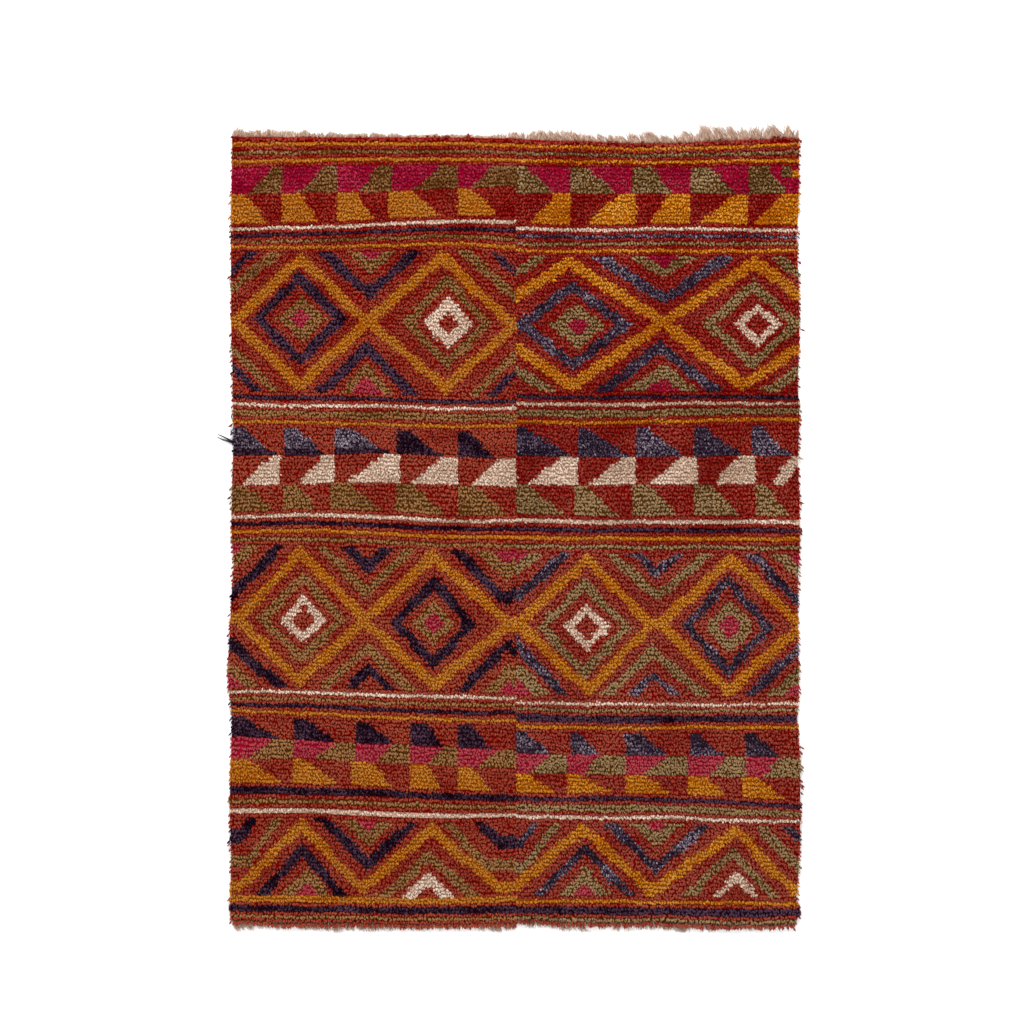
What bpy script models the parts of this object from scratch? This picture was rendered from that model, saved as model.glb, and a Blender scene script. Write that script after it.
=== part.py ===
"""A tulu rug: two hand-knotted wool strips sewn side by side, lying flat, with their warp ends left as fringe.

Metres, +Z up. The rug lies on Z = 0 with its length along Y. The origin is the middle of its footprint.
Each strip is one lumpy slab of pile with locks of wool round its outer edge. The warp ends are fused at their
roots into narrow bands, one at each end of each strip, which lie a hair's breadth from the strip's foundation.
"""

import math
import random
from collections import namedtuple

import bmesh
import bpy

# Driving dimensions, in metres.
STRIP_WIDTH = 0.636  # the seam to the outer edge: what a narrow home loom weaves
HALF_LENGTH = 0.888  # the middle of the rug to the edge of the pile
PILE_HEIGHT = 0.018  # the floor to the tips of the highest clumps
LUMP = 0.006  # how far the pile dips between its clumps
RIM_HEIGHT = 0.0115  # the pile droops to this at the edge
FOUNDATION = 0.0032  # warps and wefts under the pile
OVERHANG = 0.003  # how far the pile reaches past its foundation
GAP = 0.0003  # between two pieces that meet

# The grid of clumps in one strip. A row of the grid holds one lock at the outer edge.
COLUMNS = 20
ROWS = 60

# A lock at the rim: where it starts and ends within its row, and its reach, sag and sideways sway.
LOCK_START = 0.24
LOCK_END = 0.70
LOCK_REACH = 0.0085
LOCK_SAG = 0.0035
LOCK_SWAY = 0.0035

# A band of warp ends: its height, how far it shows past the pile, and how much of its pitch a strand fills.
BAND_HEIGHT = 0.0024
BAND_SHOWS = 0.001
STRAND_FILL = 0.74
STRAND_SWAY = 0.10

# How far an edge lies out from its straight line, at a place along that line.
EdgeRow = namedtuple("EdgeRow", "place offset")
LEFT_SIDE = (
    EdgeRow(-0.80, 0.001),
    EdgeRow(-0.62, 0.004),
    EdgeRow(-0.44, 0.001),
    EdgeRow(-0.30, 0.005),
    EdgeRow(-0.08, 0.000),
    EdgeRow(0.01, 0.006),
    EdgeRow(0.10, -0.003),
    EdgeRow(0.36, -0.003),
    EdgeRow(0.46, 0.004),
    EdgeRow(0.72, -0.001),
)
RIGHT_SIDE = (
    EdgeRow(-0.88, -0.004),
    EdgeRow(-0.72, 0.003),
    EdgeRow(-0.35, -0.002),
    EdgeRow(-0.17, -0.003),
    EdgeRow(0.10, 0.003),
    EdgeRow(0.46, 0.003),
    EdgeRow(0.60, -0.002),
)
LEFT_TOP = (EdgeRow(0.05, -0.003), EdgeRow(0.30, 0.001), EdgeRow(0.52, -0.002), EdgeRow(0.62, -0.001))
RIGHT_TOP = (
    EdgeRow(0.00, -0.014),
    EdgeRow(0.15, -0.020),
    EdgeRow(0.33, -0.024),
    EdgeRow(0.50, -0.015),
    EdgeRow(0.60, -0.001),
)
LEFT_FOOT = (EdgeRow(0.10, 0.003), EdgeRow(0.34, -0.002), EdgeRow(0.50, 0.004), EdgeRow(0.62, -0.002))
RIGHT_FOOT = (EdgeRow(0.05, 0.001), EdgeRow(0.22, -0.002), EdgeRow(0.42, 0.000), EdgeRow(0.55, 0.006))

# One strip. side is -1 for the left and 1 for the right; top_round and foot_round are its outer corners' radii.
Strip = namedtuple("Strip", "name side outer top foot top_round foot_round seed")
STRIPS = (
    Strip("panel_left", -1, LEFT_SIDE, LEFT_TOP, LEFT_FOOT, 0.010, 0.016, 11),
    Strip("panel_right", 1, RIGHT_SIDE, RIGHT_TOP, RIGHT_FOOT, 0.020, 0.028, 23),
)

# Warp ends at one end of a strip. start and stop are shares of its width from the seam, lean is the sideways
# slope of the strands, bends is the number of sections in each, and lengths gives a strand's length by place.
Fringe = namedtuple("Fringe", "name strip end start stop strands bends lean lengths seed")
TOP_LEFT_LENGTHS = (EdgeRow(0.40, 0.004), EdgeRow(0.58, 0.008), EdgeRow(0.80, 0.010), EdgeRow(0.95, 0.017))
TOP_RIGHT_LENGTHS = (
    EdgeRow(0.02, 0.018),
    EdgeRow(0.10, 0.028),
    EdgeRow(0.18, 0.019),
    EdgeRow(0.28, 0.020),
    EdgeRow(0.36, 0.027),
    EdgeRow(0.42, 0.024),
    EdgeRow(0.50, 0.039),
    EdgeRow(0.62, 0.040),
    EdgeRow(0.78, 0.034),
    EdgeRow(0.84, 0.022),
    EdgeRow(0.90, 0.026),
)
FOOT_LEFT_LENGTHS = (EdgeRow(0.10, 0.008), EdgeRow(0.50, 0.011), EdgeRow(0.90, 0.009), EdgeRow(0.96, 0.019))
FOOT_RIGHT_LENGTHS = (EdgeRow(0.10, 0.007), EdgeRow(0.45, 0.010), EdgeRow(0.90, 0.006))
FRINGES = (
    Fringe("fringe_top_left", STRIPS[0], 1, 0.44, 0.98, 34, 1, 0.10, TOP_LEFT_LENGTHS, 31),
    Fringe("fringe_top_right", STRIPS[1], 1, 0.01, 0.98, 96, 2, -0.28, TOP_RIGHT_LENGTHS, 37),
    Fringe("fringe_foot_left", STRIPS[0], -1, 0.03, 0.985, 26, 1, 0.15, FOOT_LEFT_LENGTHS, 41),
    Fringe("fringe_foot_right", STRIPS[1], -1, 0.03, 0.93, 22, 1, -0.05, FOOT_RIGHT_LENGTHS, 43),
)

MADDER_WOOL = (0.270, 0.048, 0.033)
CRIMSON_WOOL = (0.200, 0.022, 0.020)
UNDYED_WOOL = (0.434, 0.235, 0.159)


def clear_scene():
    for obj in list(bpy.data.objects):
        bpy.data.objects.remove(obj, do_unlink=True)


def wool(name, colour):
    """Matt wool of one colour."""
    material = bpy.data.materials.new(name)
    material.use_nodes = True
    shader = material.node_tree.nodes["Principled BSDF"]
    shader.inputs["Base Color"].default_value = (*colour, 1.0)
    shader.inputs["Roughness"].default_value = 0.95
    shader.inputs["Metallic"].default_value = 0.0
    return material


def make_object(name, mesh_builder, material):
    """Turns a finished bmesh into a named object whose faces all point outwards."""
    bmesh.ops.recalc_face_normals(mesh_builder, faces=mesh_builder.faces)
    mesh = bpy.data.meshes.new(name)
    mesh_builder.to_mesh(mesh)
    mesh_builder.free()
    mesh.materials.append(material)
    obj = bpy.data.objects.new(name, mesh)
    bpy.context.scene.collection.objects.link(obj)
    return obj


def offset_at(table, place):
    """The table's offset at a place, eased from row to row so that an edge has no corners."""
    if place <= table[0].place:
        return table[0].offset
    for low, high in zip(table, table[1:]):
        if place <= high.place:
            share = (place - low.place) / (high.place - low.place)
            return low.offset + (high.offset - low.offset) * share * share * (3 - 2 * share)
    return table[-1].offset


def strip_point(strip, u, v):
    """The x and y of a point that is u of the way from the seam to the outer edge and v of the way up the strip."""
    across = STRIP_WIDTH * u
    foot = -HALF_LENGTH - offset_at(strip.foot, across)
    top = HALF_LENGTH + offset_at(strip.top, across)
    y = foot + (top - foot) * v
    width = STRIP_WIDTH + offset_at(strip.outer, y)
    return strip.side * (GAP / 2 + width * u), y


def rounded(strip, x, y, outward):
    """Pulls a point of the rim in on to the arc of its outer corner, where it is near one."""
    up = outward[1] if outward[1] else math.copysign(1, y)
    radius = strip.top_round if up > 0 else strip.foot_round
    corner_x, corner_y = strip_point(strip, 1, 1 if up > 0 else 0)
    centre_x = corner_x - strip.side * radius
    centre_y = corner_y - up * radius
    along_x = (x - centre_x) * strip.side
    along_y = (y - centre_y) * up
    reach = math.hypot(along_x, along_y)
    if along_x <= 0 or along_y <= 0 or reach <= radius:
        return x, y
    return centre_x + strip.side * along_x * radius / reach, centre_y + up * along_y * radius / reach


def rim_of(strip, chance):
    """The rim as (key, x, y, outward), once round: along the foot, up the outer edge, along the top, down the seam.

    A key is (column, row) for a point of the clump grid, and ("lock", row, 0 or 1) for a lock's two corners."""
    rim = []
    for column in range(COLUMNS):
        rim.append(((column, 0), *strip_point(strip, column / COLUMNS, 0), (0, -1)))
    for row in range(ROWS):
        outward = (strip.side, -1) if row == 0 else (strip.side, 0)
        rim.append(((COLUMNS, row), *strip_point(strip, 1, row / ROWS), outward))
        shift = chance.uniform(-0.12, 0.12)
        for corner, share in enumerate((LOCK_START, LOCK_END)):
            point = strip_point(strip, 1, (row + share + shift) / ROWS)
            rim.append((("lock", row, corner), *point, (strip.side, 0)))
    rim.append(((COLUMNS, ROWS), *strip_point(strip, 1, 1), (strip.side, 1)))
    for column in reversed(range(COLUMNS)):
        rim.append(((column, ROWS), *strip_point(strip, column / COLUMNS, 1), (0, 1)))
    for row in reversed(range(1, ROWS)):
        rim.append(((0, row), *strip_point(strip, 0, row / ROWS), (0, 0)))
    return [(key, *rounded(strip, x, y, outward), outward) for key, x, y, outward in rim]


def pile_height(chance, u, v):
    """Height of the pile: its clumps at random, on slow waves across the strip."""
    wave = math.sin(9 * u + 21 * v) * math.sin(37 * v + 2)
    return PILE_HEIGHT - LUMP * (0.5 * chance.random() + 0.25 + 0.25 * wave)


def add_lock(mesh_builder, root, outward_x, chance):
    """A tapering, drooping lock of wool that grows out of the four corners of its root."""
    middle = [sum(vertex.co[axis] for vertex in root) / 4 for axis in range(3)]
    sway = chance.uniform(-LOCK_SWAY, LOCK_SWAY)
    reach = LOCK_REACH * chance.uniform(0.55, 1.0)
    half_way = []
    for vertex in root:
        half_way.append(
            mesh_builder.verts.new(
                (
                    middle[0] + (vertex.co.x - middle[0]) * 0.6 + outward_x * reach * 0.62,
                    middle[1] + (vertex.co.y - middle[1]) * 0.66 + sway * 0.4,
                    middle[2] + (vertex.co.z - middle[2]) * 0.66 - LOCK_SAG * 0.25,
                )
            )
        )
    tip = mesh_builder.verts.new((middle[0] + outward_x * reach, middle[1] + sway, middle[2] - LOCK_SAG))
    for index in range(4):
        after = (index + 1) % 4
        mesh_builder.faces.new((root[index], root[after], half_way[after], half_way[index]))
        mesh_builder.faces.new((half_way[index], half_way[after], tip))


def build_strip(strip, material):
    """One strip: a grid of clumps on top, a wall in two steps down to the floor, and a lock on each outer row."""
    chance = random.Random(strip.seed)
    mesh_builder = bmesh.new()
    rim = rim_of(strip, chance)
    top, shelf, base = {}, {}, {}
    for key, x, y, outward in rim:
        inner_x = x - outward[0] * OVERHANG
        inner_y = y - outward[1] * OVERHANG
        height = RIM_HEIGHT + chance.uniform(-0.001, 0.001)
        top[key] = mesh_builder.verts.new((x, y, height))
        shelf[key] = mesh_builder.verts.new((inner_x, inner_y, FOUNDATION))
        base[key] = mesh_builder.verts.new((inner_x, inner_y, 0.0))
    for column in range(1, COLUMNS):
        for row in range(1, ROWS):
            u, v = column / COLUMNS, row / ROWS
            top[column, row] = mesh_builder.verts.new((*strip_point(strip, u, v), pile_height(chance, u, v)))
    for row in range(1, ROWS):
        top[0, row].co.z = pile_height(chance, 0, row / ROWS)

    for column in range(COLUMNS):
        for row in range(ROWS):
            corners = [top[column, row], top[column + 1, row]]
            if column == COLUMNS - 1:
                corners += [top["lock", row, 0], top["lock", row, 1]]
            corners += [top[column + 1, row + 1], top[column, row + 1]]
            mesh_builder.faces.new(corners)

    keys = [point[0] for point in rim]
    for here, after in zip(keys, keys[1:] + keys[:1]):
        mesh_builder.faces.new((base[here], base[after], shelf[after], shelf[here]))
        root = (shelf[here], shelf[after], top[after], top[here])
        if here[0] == "lock" and after[0] == "lock":
            add_lock(mesh_builder, root, strip.side, chance)
        else:
            mesh_builder.faces.new(root)
    mesh_builder.faces.new([base[key] for key in keys])
    return make_object(strip.name, mesh_builder, material)


def end_point(fringe, u, beyond):
    """A point past the end of the strip's pile, on the straight run between two columns of its grid."""
    strip = fringe.strip
    v = 1 if fringe.end > 0 else 0
    column = min(int(u * COLUMNS), COLUMNS - 1)
    share = u * COLUMNS - column
    x0, y0 = strip_point(strip, column / COLUMNS, v)
    x1, y1 = strip_point(strip, (column + 1) / COLUMNS, v)
    return x0 + (x1 - x0) * share, y0 + (y1 - y0) * share + fringe.end * beyond


def add_strand(mesh_builder, root, fringe, length, slope, width):
    """One flat-bottomed, three-sided warp end, from the three corners of its root out along the floor."""
    middle_x = root[2].co.x
    root_y = root[0].co.y
    sections = [root]
    for step in range(1, fringe.bends + 1):
        share = step / fringe.bends
        half = width / 2 * (1 - 0.72 * share)
        x = middle_x + slope * length * share
        y = root_y + fringe.end * length * share
        height = BAND_HEIGHT * (1 - 0.65 * share)
        places = ((x - half, y, 0.0), (x + half, y, 0.0), (x, y, height))
        sections.append([mesh_builder.verts.new(place) for place in places])
    for near, far in zip(sections, sections[1:]):
        for index in range(3):
            after = (index + 1) % 3
            mesh_builder.faces.new((near[index], near[after], far[after], far[index]))
    mesh_builder.faces.new(sections[-1])


def build_fringe(fringe, material):
    """A narrow band along the end of a strip, with its strands growing out of its outer wall."""
    chance = random.Random(fringe.seed)
    mesh_builder = bmesh.new()
    pitch = (fringe.stop - fringe.start) / fringe.strands
    inside = GAP - OVERHANG
    inner, roots, lengths = [], [], []
    for index in range(fringe.strands):
        left = fringe.start + pitch * index
        right = left + pitch * STRAND_FILL
        middle = (left + right) / 2
        inner.append(left)
        low_left = mesh_builder.verts.new((*end_point(fringe, left, BAND_SHOWS), 0.0))
        low_right = mesh_builder.verts.new((*end_point(fringe, right, BAND_SHOWS), 0.0))
        ridge = mesh_builder.verts.new((*end_point(fringe, middle, BAND_SHOWS), BAND_HEIGHT))
        roots.append((low_left, low_right, ridge))
        lengths.append(offset_at(fringe.lengths, middle) * chance.uniform(0.72, 1.0))
    inner.append(right)
    low = [mesh_builder.verts.new((*end_point(fringe, u, inside), 0.0)) for u in inner]
    high = [mesh_builder.verts.new((*end_point(fringe, u, inside), BAND_HEIGHT)) for u in inner]

    width = pitch * STRAND_FILL * STRIP_WIDTH * fringe.strip.side
    for index, root in enumerate(roots):
        mesh_builder.faces.new((low[index], low[index + 1], high[index + 1], high[index]))
        slope = fringe.lean + chance.uniform(-STRAND_SWAY, STRAND_SWAY) * abs(width) / lengths[index]
        add_strand(mesh_builder, root, fringe, lengths[index], slope, width)
        if index + 1 < len(roots):
            after = roots[index + 1]
            mesh_builder.faces.new((low[index], root[0], root[1], after[0], low[index + 1]))
            mesh_builder.faces.new((root[1], root[2], after[2], after[0]))
            mesh_builder.faces.new((root[2], high[index], high[index + 1], after[2]))
    last = roots[-1]
    mesh_builder.faces.new((low[-2], last[0], last[1], low[-1]))
    mesh_builder.faces.new((last[2], high[-2], high[-1]))
    mesh_builder.faces.new((low[-1], last[1], last[2], high[-1]))
    mesh_builder.faces.new((low[0], high[0], roots[0][2], roots[0][0]))
    return make_object(fringe.name, mesh_builder, material)


def centre_on_origin(objects):
    """Moves every object by the same amount, so that the middle of the rug's footprint is at X = Y = 0."""
    points = [vertex.co for obj in objects for vertex in obj.data.vertices]
    for axis in range(2):
        values = [point[axis] for point in points]
        middle = (min(values) + max(values)) / 2
        for obj in objects:
            obj.location[axis] = -middle


def main():
    clear_scene()
    madder = wool("madder_wool", MADDER_WOOL)
    crimson = wool("crimson_wool", CRIMSON_WOOL)
    undyed = wool("undyed_warp", UNDYED_WOOL)
    made = [build_strip(STRIPS[0], madder), build_strip(STRIPS[1], crimson)]
    made += [build_fringe(fringe, undyed) for fringe in FRINGES]
    centre_on_origin(made)


main()
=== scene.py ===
# %% [markdown]
# # A tulu rug, knot by knot
# A tulu is a thick, shaggy rug knotted at home. This one was woven on a narrow loom as two strips, which
# were then sewn side by side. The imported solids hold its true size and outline. This lesson dresses them
# with about 33,600 knots of dyed wool, the woven ground under the pile, and the frayed ends of the warp.
# It could be made with a hair system, but knots that are laid in rows, each in the yarn of a chart, give
# the ridges and the stepped edges that hand knotting gives, and they stay real meshes.

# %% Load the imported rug
import math
from collections import namedtuple
from itertools import starmap

import bpy
import numpy as np
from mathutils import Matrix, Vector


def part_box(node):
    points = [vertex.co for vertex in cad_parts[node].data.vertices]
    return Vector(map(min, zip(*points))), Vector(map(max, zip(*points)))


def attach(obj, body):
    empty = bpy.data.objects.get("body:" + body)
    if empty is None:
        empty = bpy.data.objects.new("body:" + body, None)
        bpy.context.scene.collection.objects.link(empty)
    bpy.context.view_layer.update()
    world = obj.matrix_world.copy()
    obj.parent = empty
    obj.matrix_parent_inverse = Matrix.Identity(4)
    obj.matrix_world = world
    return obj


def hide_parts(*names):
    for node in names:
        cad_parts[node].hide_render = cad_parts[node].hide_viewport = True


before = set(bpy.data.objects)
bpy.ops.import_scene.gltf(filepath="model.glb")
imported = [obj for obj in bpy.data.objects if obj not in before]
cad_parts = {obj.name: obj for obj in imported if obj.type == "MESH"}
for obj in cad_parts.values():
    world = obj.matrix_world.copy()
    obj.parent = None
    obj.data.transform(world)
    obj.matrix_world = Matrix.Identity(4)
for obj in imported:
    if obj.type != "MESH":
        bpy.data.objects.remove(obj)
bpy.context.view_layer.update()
left_low, left_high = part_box("panel_left")
right_low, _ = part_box("panel_right")

# %% [markdown]
# ## Where the strips lie
# The seam lies midway between the two solids. Rows are counted from the top, so places along the rug are
# distances down from a straight line across its top end. Heights are given for the woven cloth alone, and
# for the bed that the tufts make of it.

# %% Driving sizes, in metres
STRIP_WIDTH = 0.636
STRIP_LENGTH = 1.776
FOOT_DIP = 0.0039  # the left strip's deepest foot, below its straight line
SEAM_X = (left_high.x + right_low.x) / 2
TOP_Y = left_low.y + FOOT_DIP + STRIP_LENGTH
KNOTS = 78  # across one strip
ROW_PITCH = 0.0082
CLOTH_HEIGHT = 0.003
BED_HEIGHT = 0.0100
MM = 0.001
print("knot pitch, in mm:", round(1000 * STRIP_WIDTH / KNOTS, 2))

# %% [markdown]
# ## The yarns
# Both strips use the same seven yarns. A chart holds a yarn's number for each knot.

# %% Yarn numbers
YARNS = ("red", "saffron", "olive", "indigo", "slate", "raspberry", "ivory")
RED, SAFFRON, OLIVE, INDIGO, SLATE, RASPBERRY, IVORY = range(len(YARNS))
print("yarns:", *YARNS)

# %% [markdown]
# ## The chart: stripes
# Most rows are red. One or two rows of another yarn, in groups, part the patterned bands, and a weaver
# counts them from the top. The two strips were not woven to quite the same count, which is why they do not
# meet exactly.

# %% Stripes, as first row, number of rows and yarn
Stripe = namedtuple("Stripe", "row rows yarn")
LEFT_STRIPES = (
    (1, 1, SAFFRON), (3, 1, OLIVE), (5, 1, SAFFRON),
    (23, 1, IVORY), (25, 1, INDIGO), (27, 1, OLIVE), (29, 1, SAFFRON),
    (71, 1, INDIGO), (73, 1, IVORY), (75, 2, OLIVE), (78, 1, SAFFRON),
    (105, 1, IVORY), (107, 1, INDIGO), (109, 1, SAFFRON), (111, 1, OLIVE),
    (153, 1, IVORY), (155, 1, OLIVE), (157, 1, INDIGO), (159, 1, SAFFRON),
    (180, 2, INDIGO), (183, 1, OLIVE), (185, 1, IVORY),
    (208, 2, SAFFRON), (211, 2, INDIGO), (214, 1, OLIVE),
)
RIGHT_STRIPES = (
    (1, 1, SAFFRON), (3, 1, OLIVE), (5, 1, SAFFRON),
    (23, 1, IVORY), (25, 1, SLATE), (27, 1, OLIVE), (29, 1, SAFFRON),
    (69, 1, INDIGO), (71, 1, IVORY), (73, 2, OLIVE), (76, 1, SAFFRON),
    (103, 1, IVORY), (105, 1, INDIGO), (107, 1, SAFFRON), (109, 1, OLIVE),
    (152, 1, IVORY), (154, 1, OLIVE), (156, 2, INDIGO), (159, 1, SAFFRON),
    (179, 1, INDIGO), (181, 2, OLIVE), (184, 1, IVORY),
    (207, 1, SAFFRON), (209, 2, INDIGO), (212, 1, OLIVE),
)
print("stripes:", len(LEFT_STRIPES), "and", len(RIGHT_STRIPES))

# %% [markdown]
# ## The chart: rows of triangles
# A tier is a row of cells, each cut by one slanting line into two triangles of different yarns. The slant
# steps by about a knot in every row. Edges are in knots from the strip's left side, and a slant is given by
# how far across its cell it starts in the top row and ends in the bottom row, in hundredths. At the right
# side the weaver filled two corners with odd yarns, and cut one ivory triangle short.

# %% Tiers of triangles
Tier = namedtuple("Tier", "row rows left right edges slants")
LEFT_TIERS = (
    (7, 7, RASPBERRY, OLIVE, (0, 14, 29, 44, 62, 78), ((76, 33), (75, 30), (72, 42), (72, 36), (58, 27))),
    (14, 8, SAFFRON, RED, (0, 14, 29, 43.3, 61.7, 78), ((30, 73), (32, 68), (40, 68), (35, 73), (28, 66))),
    (80, 9, SLATE, RED, (0, 14, 28, 45), ((20, 80), (30, 80), (32, 84))),
    (87, 2, INDIGO, RED, (0, 14, 28, 45), ((72, 84), (74, 82), (78, 88))),
    (80, 9, INDIGO, RED, (45, 62, 78), ((22, 74), (20, 62))),
    (89, 8, RED, IVORY, (0, 13.2, 28, 46, 62, 78), ((80, 24), (76, 36), (72, 22), (71, 21), (68, 25))),
    (97, 7, OLIVE, RED, (0, 13.7, 27.3, 44.7, 62, 78), ((32, 80), (35, 70), (32, 76), (31, 76), (33, 82))),
    (161, 6, INDIGO, RED, (0, 17, 33.6, 49, 62.4, 78), ((24, 74), (25, 67), (28, 70), (36, 68), (22, 57))),
    (167, 5, RASPBERRY, OLIVE, (0, 17, 33.6, 49, 62.4, 78),
     ((66, 30), (68, 36), (69, 43), (64, 40), (67, 34))),
    (172, 7, SAFFRON, RED, (0, 17, 33.2, 49, 62.2, 78), ((28, 80), (21, 76), (36, 70), (41, 64), (27, 54))),
)
RIGHT_TIERS = (
    (7, 7, OLIVE, RASPBERRY, (0, 14.7, 32, 48, 64, 78), ((23, 68), (30, 73), (37, 67), (36, 72), (40, 74))),
    (7, 3, RASPBERRY, OLIVE, (72.7, 76), ((0, 0),)),
    (8, 2, OLIVE, SAFFRON, (75.6, 78), ((0, 0),)),
    (14, 8, RED, SAFFRON, (0, 15, 33, 48, 63.6, 78), ((70, 25), (70, 28), (58, 28), (74, 20), (65, 17))),
    (78, 8, SLATE, RED, (0, 16.7, 32.7, 49, 65, 78), ((20, 90), (23, 88), (25, 84), (24, 80), (22, 82))),
    (86, 8, RED, IVORY, (0, 16.8, 33, 49.7, 66, 78), ((71, 21), (74, 20), (74, 24), (70, 30), (80, 39))),
    (88, 6, IVORY, RED, (74, 78), ((100, 0),)),
    (94, 8, OLIVE, RED, (0, 16, 32, 49, 66, 78), ((22, 80), (26, 72), (28, 70), (29, 69), (26, 72))),
    (161, 6, SLATE, RED, (0, 14.7, 30, 47.6, 62.6, 78), ((18, 62), (21, 56), (26, 62), (23, 60), (24, 62))),
    (167, 6, RASPBERRY, OLIVE, (0, 14.4, 30, 47.4, 62.6, 78),
     ((65, 31), (54, 28), (61, 31), (67, 39), (62, 35))),
    (173, 5, SAFFRON, RED, (0, 14, 30, 47.2, 62, 78), ((26, 74), (22, 74), (34, 70), (42, 64), (30, 68))),
)
print("tiers:", len(LEFT_TIERS), "and", len(RIGHT_TIERS))

# %% [markdown]
# ## The chart: lozenges
# Three bands hold a lattice of lozenges. Each lozenge, and each gap between two, holds a motif of its own:
# an outer ring, an inner shape and a core. A weaver counts each one afresh, so none quite matches its
# neighbour, and each has its own middle and its own reach. The last band is only the upper half of such a
# lattice, a zigzag. Towards its sides the lattice stops falling at the band's level, a share of the reach,
# and a motif's level is the share of its reach over which its tip is flat.

# %% Bands of lozenges, in knots across and rows down
Rings = namedtuple("Rings", "outer inner core")
Lozenge = namedtuple("Lozenge", "knot left right lean")
MOTIF_COLUMNS = "kind row knot reach height inner_knot inner_reach inner_height core level"
Motif = namedtuple("Motif", MOTIF_COLUMNS, defaults=(0,))
Band = namedtuple("Band", "row rows middle height lozenges motifs gaps level", defaults=(1,))


def rings_in(dark):
    """The yarns of each kind of motif, where this is the strip's dark yarn."""
    return {
        "dark": Rings(dark, OLIVE, RASPBERRY),
        "light": Rings(OLIVE, IVORY, RED),
        "green": Rings(OLIVE, dark, RED),
    }


LEFT_BANDS = (
    Band(31, 39, 50.3, 17.5, ((18.9, 18.3, 18.5, -0.6), (58.2, 20.9, 19.1, 0.5)), (
        ("dark", 49.5, 18.8, 11.2, 11.5, 19.3, 6.6, 6.4, 3.1),
        ("light", 50, 59.2, 10.7, 11.3, 59.3, 6.8, 6.9, 3.1),
    ), (
        ("green", 31, -0.5, 13.2, 11, -0.5, 7.6, 7.5, 4.9),
        ("dark", 31, 37.9, 12.5, 11.8, 38.2, 7.4, 6.6, 3.1),
        ("green", 31, 78.5, 15.2, 12.2, 78.5, 8.8, 7.2, 5.7),
        ("green", 70, -0.5, 12.2, 12.8, -0.5, 9, 8.8, 6.4),
        ("dark", 70, 37, 13, 12.4, 36.7, 7.3, 8.6, 4.4),
        ("green", 70, 78.5, 12.4, 12.1, 78.5, 9.3, 8, 6.3),
    )),
    Band(113, 39, 132.6, 17.7, ((19, 16.9, 17.8, 0.4), (55.4, 19, 21, 0.4)), (
        ("light", 132.7, 19.6, 10.8, 11.2, 20, 6.4, 6.7, 3.6),
        ("dark", 133, 55.5, 10.4, 10.9, 55.5, 5.6, 6, 2.9),
    ), (
        ("dark", 113, -0.3, 13.4, 13.7, -0.3, 8.4, 6.8, 4.4),
        ("green", 113, 36.7, 12.5, 12.2, 36.8, 7.5, 7.7, 3.5),
        ("dark", 113, 75.2, 14, 13.3, 75.4, 8.7, 8, 3.9),
        ("dark", 152, -0.3, 15, 13.3, -0.3, 9.2, 7.9, 4.9),
        ("green", 152, 37.8, 11.7, 11.8, 38.4, 7.4, 7.6, 3.6),
        ("dark", 152, 75.6, 12.4, 13.8, 76.2, 7.5, 8.6, 3.4),
    )),
    Band(187, 21, 207.5, 18.6, ((19.4, 18.9, 18, 0), (54.9, 21.1, 20.3, 0)), (
        ("dark", 208, 19.6, 11.2, 11.9, 20.8, 7, 7.6, 3.3),
        ("light", 208, 54.3, 12.4, 11.7, 54, 7.4, 7.3, 4),
    ), (
        ("green", 187, -0.5, 13.7, 11.5, -0.5, 8.3, 7.3, 3.6, 0.42),
        ("dark", 187, 37.4, 12.5, 12.1, 37.6, 7, 7.3, 2.8),
        ("green", 187, 78.5, 19, 12.3, 78.5, 12.2, 8.1, 5.9, 0.46),
    ), 0.9),
)
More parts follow.
